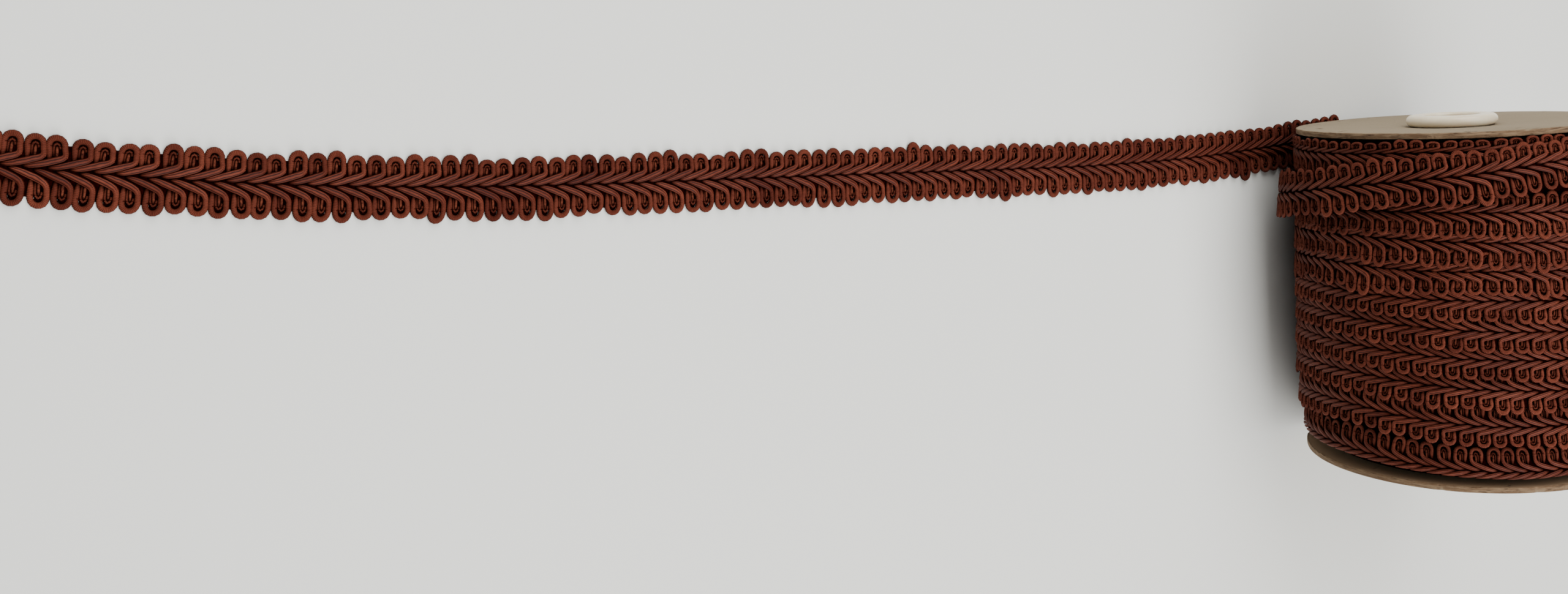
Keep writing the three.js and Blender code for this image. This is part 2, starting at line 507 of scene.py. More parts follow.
def mesh_piece(name: str, points: Array, groups: list[Faces],
               materials: list[Material], numbers: dict[str, Array], place: SpoolPlace) -> Piece:
    """Makes an object from arrays.

    Args:
        name: the piece's name.
        points: rows of x, y and z in millimetres, in the spool's own place.
        groups: its faces.
        materials: its material slots.
        numbers: values that the materials read at each point, by name.
        place: where the spool stands in the frame.

    Returns:
        The object, at the origin.
    """
    mesh = bpy.data.meshes.new(name)
    mesh.vertices.add(len(points))
    mesh.vertices.foreach_set("co", place.metres(points).astype(np.float32).ravel())
    corners = np.concatenate([group.corners.ravel() for group in groups])
    sizes = np.concatenate([np.full(len(g.corners), g.corners.shape[1]) for g in groups])
    slots = np.concatenate([np.full(len(g.corners), g.slot) for g in groups])
    mesh.loops.add(len(corners))
    mesh.loops.foreach_set("vertex_index", corners.astype(np.int32))
    mesh.polygons.add(len(sizes))
    starts = np.concatenate([[0], np.cumsum(sizes)[:-1]])
    mesh.polygons.foreach_set("loop_start", starts.astype(np.int32))
    mesh.update(calc_edges=True)
    mesh.polygons.foreach_set("material_index", slots.astype(np.int32))
    mesh.polygons.foreach_set("use_smooth", np.ones(len(sizes), dtype=bool))
    layer = mesh.uv_layers.new(name="cord")
    flat = [np.zeros(g.corners.shape + (2,)) if g.uvs is None else g.uvs for g in groups]
    layer.data.foreach_set("uv", np.concatenate([f.ravel() for f in flat]).astype(np.float32))
    for key, values in numbers.items():
        column = mesh.attributes.new(key, "FLOAT", "POINT")
        column.data.foreach_set("value", values.astype(np.float32))
    for material in materials:
        mesh.materials.append(material)
    piece = bpy.data.objects.new(name, mesh)
    bpy.context.collection.objects.link(piece)
    return piece


# The trim


class Layer(Enum):
    """The material slots of a length of trim."""

    CORD = 0
    GROUND = 1
    CORE = 2


# The section of the strip of binding threads: across and high, in millimetres.
GROUND_SECTION = (
    (-6.00, 0.02), (-6.00, 0.16), (-3.0, 0.34), (0.0, 0.42), (2.6, 0.34), (5.10, 0.16),
    (5.10, 0.02), (0.0, 0.02),
)


@dataclass(frozen=True)
class Station:
    """One place on a cord's way through a repeat of the braid.

    along is in pitches from the leg that the float runs into, across in millimetres from the
    line where the floats of both sides meet, high in millimetres from the underside. satin is 1
    on a float, where the threads lie lengthwise, and 0 on a wrapped loop.
    """

    along: float
    across: float
    high: float
    radius: float
    satin: float = 0.0


def cord_stations(*rows: tuple) -> tuple[Station, ...]:
    """A cord's stations, from the rows of their values."""
    return tuple(Station(*row) for row in rows)


SHORT_CORD = cord_stations(
    (-1.76, 0.28, 0.46, 0.20, 1.0), (-1.50, 0.42, 0.78, 0.40, 1.0), (-1.12, 0.84, 0.96, 0.53, 1.0),
    (-0.72, 1.40, 1.01, 0.58, 1.0), (-0.35, 1.97, 1.00, 0.58, 1.0), (-0.06, 2.46, 0.95, 0.54, 0.8),
    (0.06, 3.02, 0.86, 0.54, 0.3), (0.05, 3.70, 0.80, 0.55), (0.03, 4.50, 0.77, 0.57),
    (0.03, 5.35, 0.74, 0.58), (-0.07, 6.14, 0.72, 0.59), (-0.31, 6.52, 0.72, 0.59),
    (-0.55, 6.14, 0.71, 0.59), (-0.65, 5.25, 0.70, 0.58), (-0.65, 4.20, 0.68, 0.57),
    (-0.64, 3.30, 0.58, 0.54), (-0.65, 2.50, 0.40, 0.46), (-0.67, 1.80, 0.26, 0.36),
)
LONG_CORD = cord_stations(
    (-1.66, -0.32, 0.46, 0.20, 1.0), (-1.36, -0.54, 0.82, 0.42, 1.0),
    (-1.00, -1.04, 0.98, 0.54, 1.0), (-0.64, -1.64, 1.02, 0.59, 1.0),
    (-0.31, -2.27, 0.99, 0.59, 1.0), (-0.07, -2.98, 0.92, 0.56, 0.7),
    (0.02, -3.80, 0.82, 0.55, 0.1), (0.03, -4.85, 0.77, 0.57), (0.03, -6.05, 0.74, 0.58),
    (-0.08, -7.06, 0.72, 0.59), (-0.32, -7.50, 0.72, 0.59), (-0.56, -7.06, 0.71, 0.59),
    (-0.66, -6.05, 0.70, 0.58), (-0.66, -4.80, 0.68, 0.57), (-0.65, -3.80, 0.58, 0.54),
    (-0.65, -2.95, 0.40, 0.46), (-0.67, -2.20, 0.26, 0.36),
)
LONG_SHIFT = 0.32  # the long loops stand this many pitches past the short ones
LONG_STRETCH = 1.24  # and what lies inside them is this much longer
HOLE_START = 2.6  # where the hole of a short loop starts across the braid
STEADY = 2.0  # nearer the line where the floats meet, nothing stretches or leans
INNER_CURL = cord_stations(
    (-0.46, 2.90, 0.52, 0.24), (-0.46, 4.10, 0.67, 0.26), (-0.43, 4.95, 0.71, 0.27),
    (-0.31, 5.36, 0.72, 0.27), (-0.20, 5.00, 0.71, 0.27), (-0.17, 4.30, 0.63, 0.24),
)
CORE_STRAND = cord_stations(
    (-0.32, 2.70, 0.52, 0.24, 1.0), (-0.32, 3.40, 0.65, 0.27, 1.0), (-0.31, 4.20, 0.66, 0.27, 1.0),
    (-0.31, 4.80, 0.52, 0.20, 1.0),
)
STITCH_THREAD = cord_stations(
    (-1.00, 4.80, 0.85, 0.08), (-0.82, 4.82, 0.80, 0.08), (-0.64, 4.88, 1.26, 0.08),
    (-0.32, 4.86, 0.80, 0.08), (0.02, 4.90, 1.32, 0.08),
)
# The web of thin threads at the far end of a loop: along and across, and its two faces.
WEB = ((-0.50, 4.7), (-0.48, 5.7), (-0.31, 6.2), (-0.14, 5.7), (-0.12, 4.7))
WEB_HIGH = (0.05, 0.30)
GROOVE = 0.2  # how far a float's crest is drawn in, to its radius
FLATTENED = 0.10  # how much wider a float is than high
CORE_STEPS = 5
STITCH_STEPS = 6
STITCH_SIDES = 3
LOWEST = 0.03  # no point of a cord comes nearer the underside than this
TINY = 0.1  # added to a stretch so that its last whole repeat fits
GROUND_STEP = 2.0  # between rows of the ground's faces


def ring_faces(rows: int, size: int, closed: bool = False) -> Array:
    """The faces between rings of points.

    Args:
        rows: number of rings.
        size: number of points in each.
        closed: True where the last ring is joined to the first.

    Returns:
        Rows of four corners.
    """
    ring = np.arange(size)
    after = (ring + 1) % size
    here = (np.arange(rows if closed else rows - 1) * size)[:, None]
    there = (here + size) % (rows * size)
    return np.stack([here + ring, there + ring, there + after, here + after],
                    axis=2).reshape(-1, 4)


def end_faces(rows: int, size: int) -> Array:
    """The faces that close the first and the last ring."""
    ring = np.arange(size)
    return np.stack([ring, (rows - 1) * size + ring[::-1]])


@dataclass
class Sweep:
    """A cord of the repeat: its points along, across and high, its faces and their values."""

    points: Array
    quads: Array
    ends: Array
    quad_uvs: Array
    satin: Array


def smooth_rows(rows: Array, count: int) -> Array:
    """Runs a smooth curve through rows of values.

    Args:
        rows: the values, one row for each place.
        count: number of rows wanted.

    Returns:
        The rows of the curve, evenly spaced along its first three columns.
    """
    steps = np.linalg.norm(np.diff(rows[:, :3], axis=0), axis=1)
    knots = np.concatenate([[0], np.cumsum(steps)])
    wanted = np.linspace(0, knots[-1], count)
    slope = np.gradient(rows, knots, axis=0)
    index = np.clip(np.searchsorted(knots, wanted, side="right") - 1, 0, len(knots) - 2)
    span = knots[index + 1] - knots[index]
    t = ((wanted - knots[index]) / span)[:, None]
    span = span[:, None]
    return (
        (2 * t**3 - 3 * t**2 + 1) * rows[index]
        + (t**3 - 2 * t**2 + t) * span * slope[index]
        + (-2 * t**3 + 3 * t**2) * rows[index + 1]
        + (t**3 - t**2) * span * slope[index + 1]
    )


def swept(stations: tuple[Station, ...], steps: int, sides: int, groove: float = 0.0,
          fullness: float = 1.0) -> Sweep:
    """Sweeps a round cord along its stations.

    Args:
        stations: the cord's way.
        steps: number of rings.
        sides: number of sides.
        groove: how far the crest of a float is drawn in, as a share of its radius.
        fullness: how much thicker than its stations it is.

    Returns:
        The cord, along in millimetres.
    """
    table = np.array([[s.along * LOOP_PITCH, s.across, s.high, s.radius, s.satin]
                      for s in stations])
    rows = smooth_rows(table, steps)
    centre, radius, satin = rows[:, :3], rows[:, 3] * fullness, np.clip(rows[:, 4], 0, 1)
    tangent = np.gradient(centre, axis=0)
    tangent /= np.linalg.norm(tangent, axis=1)[:, None]
    beside = np.cross(tangent, [0.0, 0.0, 1.0])
    beside /= np.linalg.norm(beside, axis=1)[:, None]
    above = np.cross(beside, tangent)
    angles = math.pi / 2 + 2 * math.pi * np.arange(sides) / sides
    reach = np.repeat(radius[:, None], sides, axis=1)
    reach[:, 0] *= 1 - groove * satin
    wide = (1 + FLATTENED * satin)[:, None, None]
    points = (
        centre[:, None, :]
        + (reach * np.cos(angles))[:, :, None] * beside[:, None, :] * wide
        + (reach * np.sin(angles))[:, :, None] * above[:, None, :] * (2 - wide)
    ).reshape(-1, 3)
    ring = np.arange(sides)
    length = np.concatenate([[0], np.cumsum(np.linalg.norm(np.diff(centre, axis=0), axis=1))])
    lengths = np.stack([length[:-1], length[1:], length[1:], length[:-1]], axis=1)
    uvs = np.empty((steps - 1, sides, 4, 2))
    uvs[..., 0] = lengths[:, None, :]
    uvs[..., 1] = np.stack([ring, ring, ring + 1, ring + 1], axis=1) / sides
    return Sweep(points, ring_faces(steps, sides), end_faces(steps, sides),
                 uvs.reshape(-1, 4, 2), np.repeat(satin, sides))


def long_across(across: float | Array) -> float | Array:
    """The place across the braid, on its long side, of one inside a short loop."""
    return -(HOLE_START + (across - HOLE_START) * LONG_STRETCH)


def on_long_side(stations: tuple[Station, ...]) -> tuple[Station, ...]:
    """A cord that lies inside a short loop, as it lies inside a long one."""
    return tuple(replace(s, along=s.along + LONG_SHIFT, across=long_across(s.across))
                 for s in stations)


def shifted(stations: tuple[Station, ...], shift: float) -> tuple[Station, ...]:
    """The same stations, moved along by some pitches."""
    return tuple(replace(s, along=s.along + shift) for s in stations)


@dataclass(frozen=True)
class BraidDetail:
    """How finely a length of braid is meshed, and how its loops are drawn."""

    cord_steps: int
    cord_sides: int
    curl_steps: int
    curl_sides: int
    fullness: float  # how thick the cords are, to their stations' radius
    loop_width: float  # how wide the loops are along the trim,
    narrow: float  # and the whole across it, to the stations' places
    short_draw: float  # how much less a short loop reaches out, to 1 mm

    def fit(self, stations: tuple[Station, ...]) -> tuple[Station, ...]:
        """Draws a cord's loop narrower or wider, and the whole cord nearer the middle.

        Args:
            stations: the cord's way.

        Returns:
            The way with its new widths.
        """
        tip = max(stations, key=lambda station: abs(station.across)).along
        made = []
        for s in stations:
            width = 1 + (self.loop_width - 1) * (1 - s.satin) * (s.along > tip)
            made.append(replace(s, along=tip + (s.along - tip) * width,
                                across=self.drawn(s.across)))
        return tuple(made)

    def drawn(self, across: float) -> float:
        """How far a point lies across the trim once it is drawn narrower."""
        past = max(0.0, across - STEADY)
        return (across - self.short_draw * past) * self.narrow


FINE = BraidDetail(cord_steps=30, cord_sides=8, curl_steps=10, curl_sides=6, fullness=1.12,
                   loop_width=1.0, narrow=1.0, short_draw=0.0)
WOUND = BraidDetail(cord_steps=24, cord_sides=6, curl_steps=8, curl_sides=4, fullness=0.95,
                    loop_width=0.86, narrow=0.87, short_draw=0.10)
SLACK = BraidDetail(cord_steps=26, cord_sides=6, curl_steps=8, curl_sides=4, fullness=1.0,
                    loop_width=0.92, narrow=0.97, short_draw=0.08)


def web_plate(edge: Side, detail: BraidDetail) -> Sweep:
    """The dark threads that close the far end of a loop, as one thin plate.

    Args:
        edge: TOP for a short loop, BOTTOM for a long one.
        detail: how the braid is drawn.

    Returns:
        The plate.
    """
    outline = np.array(WEB)
    if edge is Side.BOTTOM:
        outline[:, 0] += LONG_SHIFT
        outline[:, 1] = long_across(outline[:, 1])
        outline = outline[::-1]
    outline[:, 0] *= LOOP_PITCH
    outline[:, 1] = [detail.drawn(across) for across in outline[:, 1]]
    size = len(outline)
    points = np.concatenate([np.column_stack([outline, np.full(size, high)])
                             for high in WEB_HIGH])
    return Sweep(points, ring_faces(2, size), end_faces(2, size), np.zeros((size, 4, 2)),
                 np.zeros(2 * size))


class Course:
    """A way along which a length of trim lies."""

    def place(self, along: Array, across: Array, high: Array) -> Array:
        """Puts points of the flat trim on the course.

        Args:
            along: millimetres along the middle line.
            across: millimetres from it, towards the top flange.
            high: millimetres from the underside.

        Returns:
            Rows of x, y and z in millimetres.
        """
        raise NotImplementedError


@dataclass(frozen=True)
class Spread:
    """How unlike each other the loops are: at random, and in a slow wave of some length."""

    random: float
    slow: float
    length: float

    def at(self, kick: Array, place: Array, uneven: float, seed: float) -> Array:
        """The difference of each loop, from its random number and its place."""
        return self.random * kick + self.slow * uneven * wave(place, self.length, seed)


@dataclass
class Braid:
    """The looped braid: floats that meet along the middle, and a loop at each end of a float."""

    detail: BraidDetail
    finishes: TrimFinishes
    unevenness: float = 1.0
    tone: float = 0.68  # how light the cords are, and the deviation of that
    shade: float = 0.13
    taller: Spread = Spread(0.045, 0.07, 47.0)  # how far a loop stretches, to 1 mm
    proud: tuple = (1.3, 0.16)  # past so many deviations, so much more
    lean: Spread = Spread(0.035, 0.03, 71.0)  # how far it leans along the trim, to 1 mm
    slip: float = 0.10  # how far a repeat shifts along the trim,
    lift: float = 0.05  # and off the ground

    def __post_init__(self) -> None:
        """Sweeps the cords of one repeat, by the edge that they belong to."""
        d = self.detail
        self.cords: dict[Side, list[tuple[Sweep, int]]] = {}
        for edge in Side:
            short = edge is Side.TOP
            cord = SHORT_CORD if short else shifted(LONG_CORD, LONG_SHIFT)
            curl, core, stitch = ((INNER_CURL, CORE_STRAND, STITCH_THREAD) if short else
                                  map(on_long_side, (INNER_CURL, CORE_STRAND, STITCH_THREAD)))
            self.cords[edge] = [
                (swept(d.fit(cord), d.cord_steps, d.cord_sides, GROOVE, d.fullness),
                 Layer.CORD.value),
                (swept(d.fit(curl), d.curl_steps, d.curl_sides), Layer.CORD.value),
                (swept(d.fit(core), CORE_STEPS, d.curl_sides), Layer.CORE.value),
                (swept(d.fit(stitch), STITCH_STEPS, STITCH_SIDES), Layer.GROUND.value),
                (web_plate(edge, d), Layer.GROUND.value),
            ]

    def lay(self, course: Course, start: float, count: int, first: int,
            rng: np.random.Generator, turned: bool = False
            ) -> tuple[Array, list[Faces], dict[str, Array]]:
        """Lays repeats along a course.

        Args:
            course: where the trim lies.
            start: millimetres along it of repeat number 0.
            count: number of repeats.
            first: number of the first repeat.
            rng: source of the small differences between loops.
            turned: True where the trim lies end for end, its chevrons pointing the other way.

        Returns:
            Points, faces and the values at each point.
        """
        parts, groups = [], []
        numbers = {"satin": [], "tone": [], "high": []}
        base = 0
        at = start + (first + np.arange(count)) * LOOP_PITCH
        uneven = self.unevenness
        way = -1.0 if turned else 1.0
        for edge in Side:
            kick = rng.normal(0, 1, (5, count)) * uneven
            taller = self.taller.at(kick[0], at, uneven, 1.3 * edge.value)
            taller += np.where(kick[4] > self.proud[0], self.proud[1], 0.0)
            lean = self.lean.at(kick[1], at, uneven, 2.0 + edge.value)
            slip = self.slip * kick[2]
            lift = self.lift * kick[3]
            shade = np.clip(self.tone + self.shade * rng.normal(0, 1, count), 0, 1)
            for cord, slot in self.cords[edge]:
                local = cord.points
                out = np.clip(np.abs(local[:, 1]) - STEADY, 0, None)
                across = local[:, 1] + edge.value * taller[:, None] * out
                along = at[:, None] + way * (slip[:, None] + local[:, 0] + lean[:, None] * out)
                height = np.clip(local[:, 2] + lift[:, None], LOWEST, None)
                parts.append(course.place(along.ravel(), way * across.ravel(), height.ravel()))
                size = len(local)
                step = (base + size * np.arange(count))[:, None, None]
                groups.append(Faces((cord.quads + step).reshape(-1, 4), slot,
                                    np.tile(cord.quad_uvs, (count, 1, 1))))
                groups.append(Faces((cord.ends + step).reshape(-1, cord.ends.shape[1]), slot))
                numbers["satin"].append(np.tile(cord.satin, count))
                numbers["tone"].append(np.repeat(shade, size))
                numbers["high"].append(np.tile(local[:, 2] / STRIP_HIGH, count))
                base += size * count
        return (np.concatenate(parts), groups,
                {key: np.concatenate(values) for key, values in numbers.items()})

    def ground(self, course: Course, start: float, end: float, slot: int,
               turned: bool = False) -> tuple[Array, list[Faces]]:
        """The thin ground of binding threads under the cords, one closed strip.

        Args:
            course: where the trim lies.
            start: where the strip starts along it.
            end: where it ends.
            slot: its material slot.
            turned: True where the trim lies end for end.

        Returns:
            Points and faces.
        """
        rows = max(2, int(round((end - start) / GROUND_STEP)) + 1)
        stretch = np.linspace(start, end, rows)
        section = np.array(GROUND_SECTION) * [self.detail.narrow, 1]
        if turned:
            section = section[::-1] * [-1, 1]
        size = len(section)
        points = course.place(np.repeat(stretch, size), np.tile(section[:, 0], rows),
                              np.tile(section[:, 1], rows))
        return points, [Faces(ring_faces(rows, size), slot), Faces(end_faces(rows, size), slot)]


class TableCourse(Course):
    """The loose end's way over the table, from its cut end to where it goes under the roll."""

    # x and y of the middle line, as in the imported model.
    POINTS = (
        (12, 44.2), (-20, 43.5), (-60, 42.8), (-100, 43.9), (-140, 46.3), (-180, 48.9),
        (-220, 51.4), (-260, 53.9), (-300, 57.3), (-340, 62.3), (-380, 69.5), (-393, 72.3),
    )
    STEPS = 900
    MEETING = 0.5  # the floats meet this far from the middle of the trim's width

    def __init__(self) -> None:
        """Works out the curve and its length."""
        rows = np.array([[x, y, 0.0] for x, y in reversed(self.POINTS)])
        line = smooth_rows(rows, self.STEPS)
        self.x = line[:, 0]
        self.y = line[:, 1]
        steps = np.hypot(np.diff(self.x), np.diff(self.y))
        self.arc = np.concatenate([[0], np.cumsum(steps)])
        self.length = float(self.arc[-1])
        self.along_x = np.gradient(self.x, self.arc)
        self.along_y = np.gradient(self.y, self.arc)

    def place(self, along: Array, across: Array, high: Array) -> Array:
        """Puts points of the flat trim on the table.

        Args:
            along: millimetres along the middle line.
            across: millimetres from it, towards the top flange.
            high: millimetres from the underside.

        Returns:
            Rows of x, y and z in millimetres.
        """
        across = across + self.MEETING
        inside = np.clip(along, 0.0, self.length)
        past = along - inside
        run_x = np.interp(inside, self.arc, self.along_x)
        run_y = np.interp(inside, self.arc, self.along_y)
        x = np.interp(inside, self.arc, self.x) + past * run_x - across * run_y
        y = np.interp(inside, self.arc, self.y) + past * run_y + across * run_x
        return np.stack([x, y, high], axis=1)


@dataclass(frozen=True)
class Knot:
    """A place on the wound trim: degrees wound since the first row, its middle line's place along
    the spool, and how far its cords stand off the axis."""

    wound: float
    middle: float
    out: float


def course_knots(*rows: tuple) -> tuple[Knot, ...]:
    """A course's knots, from the rows of their values."""
    return tuple(Knot(*row) for row in rows)


WINDING = course_knots(
    (-280, -43.4, 43.2), (-170, -42.9, 44.6), (-75, -41.9, 46.2), (-36, -42.1, 46.2),
    (-14, -43.4, 45.9), (4, -44.2, 45.6), (22, -44.5, 45.5), (36, -44.2, 45.5), (70, -43.6, 45.5),
    (140, -41.0, 45.8), (240, -33.5, 46.5), (305, -29.0, 47.1), (328, -28.8, 47.0),
    (347, -29.8, 46.8), (364, -30.5, 46.6), (382, -31.1, 46.5), (395, -31.4, 46.5),
    (425, -31.6, 46.6), (520, -26.8, 46.8), (660, -19.0, 47.1), (690, -19.1, 47.1),
    (725, -20.8, 46.8), (742, -21.4, 46.8), (760, -21.8, 46.8), (785, -21.9, 46.8),
    (880, -17.5, 46.9), (1020, -10.9, 46.9), (1050, -11.0, 46.9), (1085, -12.1, 46.9),
    (1102, -12.5, 46.9), (1116, -13.1, 46.9), (1145, -13.2, 46.9), (1240, -9.0, 46.9),
    (1385, -2.7, 46.8), (1428, -3.8, 46.8), (1446, -4.4, 46.8), (1462, -5.0, 46.8),
    (1476, -5.6, 46.8), (1505, -5.6, 46.8), (1600, -1.0, 46.8), (1745, 5.0, 46.7),
    (1788, 4.0, 46.7), (1822, 3.9, 46.7), (1836, 3.4, 46.7), (1870, 3.4, 46.7), (1960, 7.5, 46.6),
    (2110, 12.9, 46.5), (2148, 12.0, 46.5), (2183, 11.6, 46.5), (2196, 11.0, 46.5),
    (2230, 11.2, 46.4), (2330, 16.5, 46.4), (2488, 21.1, 46.3), (2526, 20.2, 46.3),
    (2556, 19.4, 46.3), (2590, 19.6, 46.2), (2700, 24.5, 46.1), (2848, 28.3, 46.0),
    (2892, 27.9, 46.0), (2916, 27.1, 46.0), (2950, 26.9, 46.0), (3040, 27.6, 46.0),
    (3116, 28.0, 46.1), (3132, 28.4, 47.4), (3158, 29.6, 51.3), (3180, 32.0, 50.6),
    (3206, 35.6, 48.9), (3229, 37.7, 47.9), (3248, 38.8, 47.4), (3267, 40.7, 47.1),
    (3290, 42.4, 47.0), (3326, 43.0, 46.9), (3386, 43.4, 46.7), (3446, 43.8, 46.4),
    (3470, 44.0, 46.2),
)
UNDER_FLANGE = course_knots(
    (-124, 44.6, 44.2), (-90, 44.6, 45.4), (-40, 44.7, 45.7), (0, 44.8, 45.6), (25, 44.9, 45.3),
    (60, 45.0, 44.3), (160, 45.0, 43.6),
)


class WoundCourse(Course):
    """The wound trim's way round the spool, each turn lying over the edge of the one before."""

    TILT = 0.105  # how much a turn's outer edge stands off its inner one, to 1 mm
    EASE = 19  # the table's corners are rounded over this many degrees
    HALF = TRIM_WIDTH / 2 + 0.1
    STRAY = (0.35, 190.0, 0.4)  # how far a turn strays along the spool, and how far it swells:
    SWELL = (0.22, 130.0, 1.9)  # by this much, over this wavelength, and the wave's seed
    LEAST_SHARE = 0.2  # the top flange squeezes the loops to no less of their width
    FOLD_START = 0.9  # beside the lower flange the loops turn down this far from the
    FOLD_RADIUS = 1.2  # line where the floats meet, round a bend of this radius
    FOLD_TURN = 80.0  # and by this angle
    FLAT_ROOM = 8.4  # with this much room they don't turn down at all,
    FOLD_EASE = 2.4  # and with this much less they do so in full
    SIT = 0.02  # clearance over the table
    TAIL_GAP = 0.15  # and over the loose end, on which the roll lies
    TAIL_EDGE = 34.6  # from here on,
    TAIL_EASE = 1.4  # with a slope this wide
    KNEE = 1.8  # the trim gives way this far above what it lies on
    LOW_SINE = -0.2  # only below this does the round come near the table
    FREE = 1e6  # and elsewhere there is room for anything

    def __init__(self, place: SpoolPlace, knots: tuple[Knot, ...], tilt: float,
                 past_face: float = -0.35) -> None:
        """Works out the curve.

        Args:
            place: the spool.
            knots: the course's table.
            tilt: rise across the trim, to 1 mm, towards its lower edge.
            past_face: how far the loops reach past the top flange's inner face.
        """
        self.place_of_spool = place
        self.tilt = tilt
        self.past_face = past_face
        wound = np.array([k.wound for k in knots])
        self.grid = np.arange(wound[0], wound[-1] + 0.5, 1.0)
        window = np.hanning(self.EASE)
        window /= window.sum()
        self.middle = self.eased(wound, [k.middle for k in knots], window)
        self.out = self.eased(wound, [k.out for k in knots], window)
        self.slope = np.gradient(self.middle) / (math.radians(1.0) * WOUND_RADIUS)
        self.start = math.radians(wound[0]) * WOUND_RADIUS
        self.end = math.radians(wound[-1]) * WOUND_RADIUS

    def eased(self, wound: Array, values: list[float], window: Array) -> Array:
        """Reads a column of the table at each degree, with its corners rounded.

        Args:
            wound: the table's degrees.
            values: the column.
            window: weights of the neighbouring degrees.

        Returns:
            The column's value at each degree of the grid.
        """
        plain = np.interp(self.grid, wound, values)
        pad = len(window) // 2
        padded = np.concatenate([np.full(pad, plain[0]), plain, np.full(pad, plain[-1])])
        return np.convolve(padded, window, mode="valid")

    def folded(self, across: Array, room: Array) -> tuple[Array, Array]:
        """Turns the lower loops down where the flange leaves them no room.

        Args:
            across: place over the trim's width, positive towards the top flange.
            room: from the middle of the turn to the lower flange.

        Returns:
            The place along the spool from the turn's middle, and how far the loops drop.
        """
        limit = np.radians(self.FOLD_TURN) * np.clip((self.FLAT_ROOM - room) / self.FOLD_EASE,
                                                     0.0, 1.0)
        past = np.clip(-across - self.FOLD_START, 0.0, None)
        turn = np.minimum(past / self.FOLD_RADIUS, limit)
        straight = past - turn * self.FOLD_RADIUS
        aside = self.FOLD_RADIUS * np.sin(turn) + straight * np.cos(limit)
        drop = self.FOLD_RADIUS * (1 - np.cos(turn)) + straight * np.sin(limit)
        return np.maximum(across, -self.FOLD_START) - aside, drop

    def place(self, along: Array, across: Array, high: Array) -> Array:
        """Puts points of the flat trim on the roll.

        Args:
            along: millimetres along the middle line.
            across: millimetres from it, towards the top flange.
            high: millimetres from the underside.

        Returns:
            Rows of x, y and z in millimetres.
        """
        spool = self.place_of_spool
        plain = np.degrees(along / WOUND_RADIUS)
        slope = np.interp(plain, self.grid, self.slope)
        wound = np.degrees((along - across * slope) / WOUND_RADIUS)
        stray, swell = (size * wave(along, length, seed)
                        for size, length, seed in (self.STRAY, self.SWELL))
        middle = np.interp(wound, self.grid, self.middle) + stray
        out = np.interp(wound, self.grid, self.out) + swell
        end = spool.face_in + self.past_face
        squeeze = np.where(across > 0, np.clip((end - middle) / self.HALF, self.LEAST_SHARE, 1.0),
                           1.0)
        aside, drop = self.folded(across * squeeze, middle + end)
        y = middle + aside
        radius = out - STRIP_HIGH - self.tilt * (across + self.HALF) + high - drop
        angle = np.radians(SIDE_VIEW - wound)
        sine = np.sin(angle)
        over_tail = np.clip((y - self.TAIL_EDGE) / self.TAIL_EASE, 0.0, 1.0)
        over_tail *= STRIP_HIGH + self.TAIL_GAP
        room = np.where(sine < self.LOW_SINE, (spool.axis_high - self.SIT - over_tail)
                        / np.clip(-sine, -self.LOW_SINE, None), self.FREE)
        knee = room - self.KNEE
        over = np.clip(radius - knee, 0, None)
        given = knee + self.KNEE * (1 - np.exp(-over / self.KNEE))
        radius = np.where(radius > knee, given, radius)
        return np.stack([radius * np.cos(angle), y, spool.axis_high + radius * sine], axis=1)


@dataclass
class LooseEnd:
    """The loose end: its ground strip, and the cords on it."""

    place: SpoolPlace
    finishes: TrimFinishes
    # Painted shade: the loose end's cords get a lower tone than the roll's 0.68, the same dye drawn
    # darker because, lying open on the table, they catch more light than the roll's turns.
    tone: float = 0.52
    cut_at: float = 0.4  # where the ground starts, in millimetres,
    margin: float = 1.5  # and the first repeat, in repeats

    def build(self) -> list[Piece]:
        """Builds and dresses the loose end.

        Returns:
            The ground strip and its cords.
        """
        course = TableCourse()
        braid = Braid(FINE, self.finishes, tone=self.tone)
        margin = self.margin * LOOP_PITCH
        count = int((course.length - margin) // LOOP_PITCH)
        rng = np.random.default_rng(SEED)
        points, groups, numbers = braid.lay(course, margin, count, 0, rng)
        cords = mesh_piece("loose_end_cords", points, groups, self.finishes.slots, numbers,
                           self.place)
        points, groups = braid.ground(course, self.cut_at, course.length, 0)
        strip = mesh_piece("loose_end_ground", points, groups, [self.finishes.ground], {},
                           self.place)
        for piece in (strip, cords):
            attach(piece, "root")
            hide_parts("trim_tail")
        LOG.info("loose end: %d repeats, %.0f mm long", count, course.length)
        return [strip, cords]


